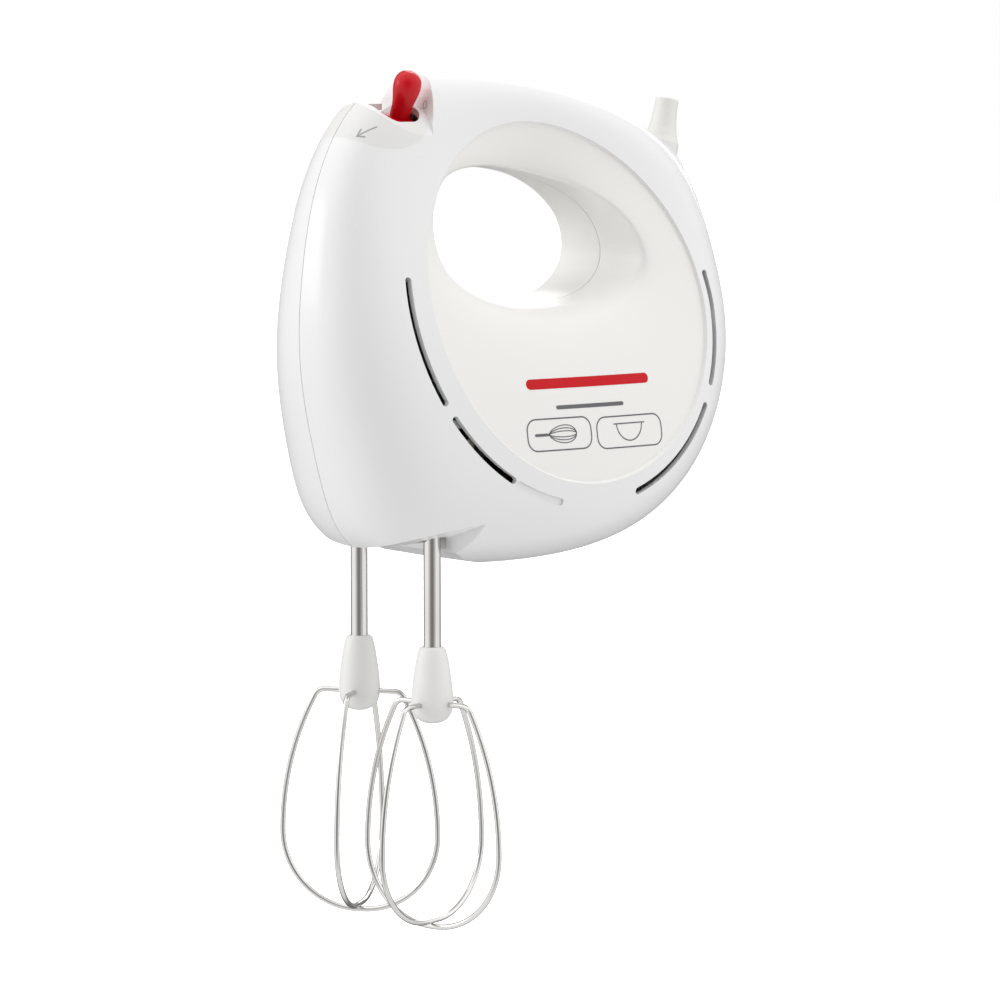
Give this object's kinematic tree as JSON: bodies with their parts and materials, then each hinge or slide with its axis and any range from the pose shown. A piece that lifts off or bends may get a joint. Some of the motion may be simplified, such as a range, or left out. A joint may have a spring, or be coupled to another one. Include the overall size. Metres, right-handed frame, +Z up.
{
  "type": "hand mixer",
  "caption": "Ring-shaped electric hand mixer with a finger hole, wire balloon whisks, a worm-geared motor and a thumb lever that sets the speed and ejects the whisks.",
  "frame": {"origin": "middle of the hand grip, above the finger hole and on the plane where the two halves of the housing meet", "axes": "+Z up with the whisks pointing straight down, -Y the nose, +X the side the lever leans to in its off position, the left side of a user who holds the grip and looks to the nose"},
  "size_m": [0.0965, 0.1862, 0.306],
  "materials": {
    "white_gloss": "glossy",
    "panel_satin": "satin",
    "guard_white": "satin",
    "red_gloss": "glossy",
    "bright_steel": "polished",
    "hub_white": "satin",
    "frame_grey": "satin",
    "bush_bronze": "satin",
    "iron": "matt",
    "copper": "enamelled",
    "carbon": "matt",
    "plain_steel": "satin",
    "gear_nylon": "satin",
    "black_plastic": "satin"
  },
  "bodies": {
    "housing": {"left_shell": "white_gloss", "right_shell": "white_gloss", "left_panel": "panel_satin", "right_panel": "panel_satin", "cord_guard": "guard_white", "gear_frame": "frame_grey", "lower_spindle_bushes": "bush_bronze", "upper_spindle_bushes": "bush_bronze", "worm_bushes": "bush_bronze", "rear_bush": "bush_bronze", "motor_bracket": "frame_grey", "stator_core": "iron", "field_coils": "copper", "brush_holders": "bush_bronze", "carbon_brushes": "carbon", "brush_springs": "plain_steel", "lever_bracket": "frame_grey", "rod_guide": "frame_grey", "speed_switch": "black_plastic", "housing_screws": "plain_steel", "motor_bolts": "plain_steel", "eject_spring": "plain_steel"},
    "armature": {"motor_shaft": "plain_steel", "worm": "plain_steel", "rotor_core": "iron", "rotor_windings": "copper", "commutator": "copper", "cooling_fan": "black_plastic"},
    "left_output": {"left_worm_wheel": "gear_nylon", "left_spindle": "plain_steel"},
    "right_output": {"right_worm_wheel": "gear_nylon", "right_spindle": "plain_steel"},
    "left_whisk": {"left_whisk_shaft": "bright_steel", "left_whisk_hub": "hub_white", "left_whisk_wire_lower": "bright_steel", "left_whisk_wire_upper": "bright_steel"},
    "right_whisk": {"right_whisk_shaft": "bright_steel", "right_whisk_hub": "hub_white", "right_whisk_wire_lower": "bright_steel", "right_whisk_wire_upper": "bright_steel"},
    "gimbal": {"lever_gimbal": "frame_grey"},
    "lever": {"speed_lever": "red_gloss", "lever_pin": "plain_steel"},
    "switch": {"switch_slider": "black_plastic"},
    "ejector": {"eject_rod": "plain_steel", "eject_plate": "frame_grey"}
  },
  "joints": [
    {"name": "motor_spin", "type": "hinge", "parent": "housing", "child": "armature", "pos_m": [0, -0.05, -0.117], "axis": [0, 1, 0], "continuous": true},
    {"name": "left_spindle_spin", "type": "hinge", "parent": "housing", "child": "left_output", "pos_m": [0.021, -0.05, -0.117], "axis": [0, 0, 1], "continuous": true},
    {"name": "right_spindle_spin", "type": "hinge", "parent": "housing", "child": "right_output", "pos_m": [-0.021, -0.05, -0.117], "axis": [0, 0, 1], "continuous": true},
    {"name": "lever_eject", "type": "hinge", "parent": "housing", "child": "gimbal", "pos_m": [0, -0.0515, -0.0115], "axis": [1, 0, 0], "range_deg": [0, 22]},
    {"name": "speed_select", "type": "hinge", "parent": "gimbal", "child": "lever", "pos_m": [0, -0.0515, -0.0115], "axis": [0, 1, 0], "range_deg": [-43, 0]},
    {"name": "switch_slide", "type": "slide", "parent": "housing", "child": "switch", "axis": [1, 0, 0], "range_m": [0, 0.0066]},
    {"name": "ejector_slide", "type": "slide", "parent": "housing", "child": "ejector", "axis": [0, 0, -1], "range_m": [0, 0.0065], "stiffness_N_per_m": 1200, "springref_m": -0.005, "deforming": ["eject_spring"]},
    {"name": "left_whisk_slide", "type": "slide", "parent": "left_output", "child": "left_whisk", "axis": [0, 0, -1], "range_m": [0, 0.0066]},
    {"name": "right_whisk_slide", "type": "slide", "parent": "right_output", "child": "right_whisk", "axis": [0, 0, -1], "range_m": [0, 0.0066]}
  ],
  "couplings": [
    {"joint": "left_spindle_spin", "follows": "motor_spin", "ratio": 0.071429},
    {"joint": "right_spindle_spin", "follows": "motor_spin", "ratio": -0.071429},
    {"joint": "speed_select", "follows": "switch_slide", "rad_per_m": -113.6},
    {"joint": "lever_eject", "follows": "ejector_slide", "rad_per_m": 58.48},
    {"joint": "left_whisk_slide", "follows": "ejector_slide", "ratio": 1},
    {"joint": "right_whisk_slide", "follows": "ejector_slide", "ratio": 1}
  ]
}
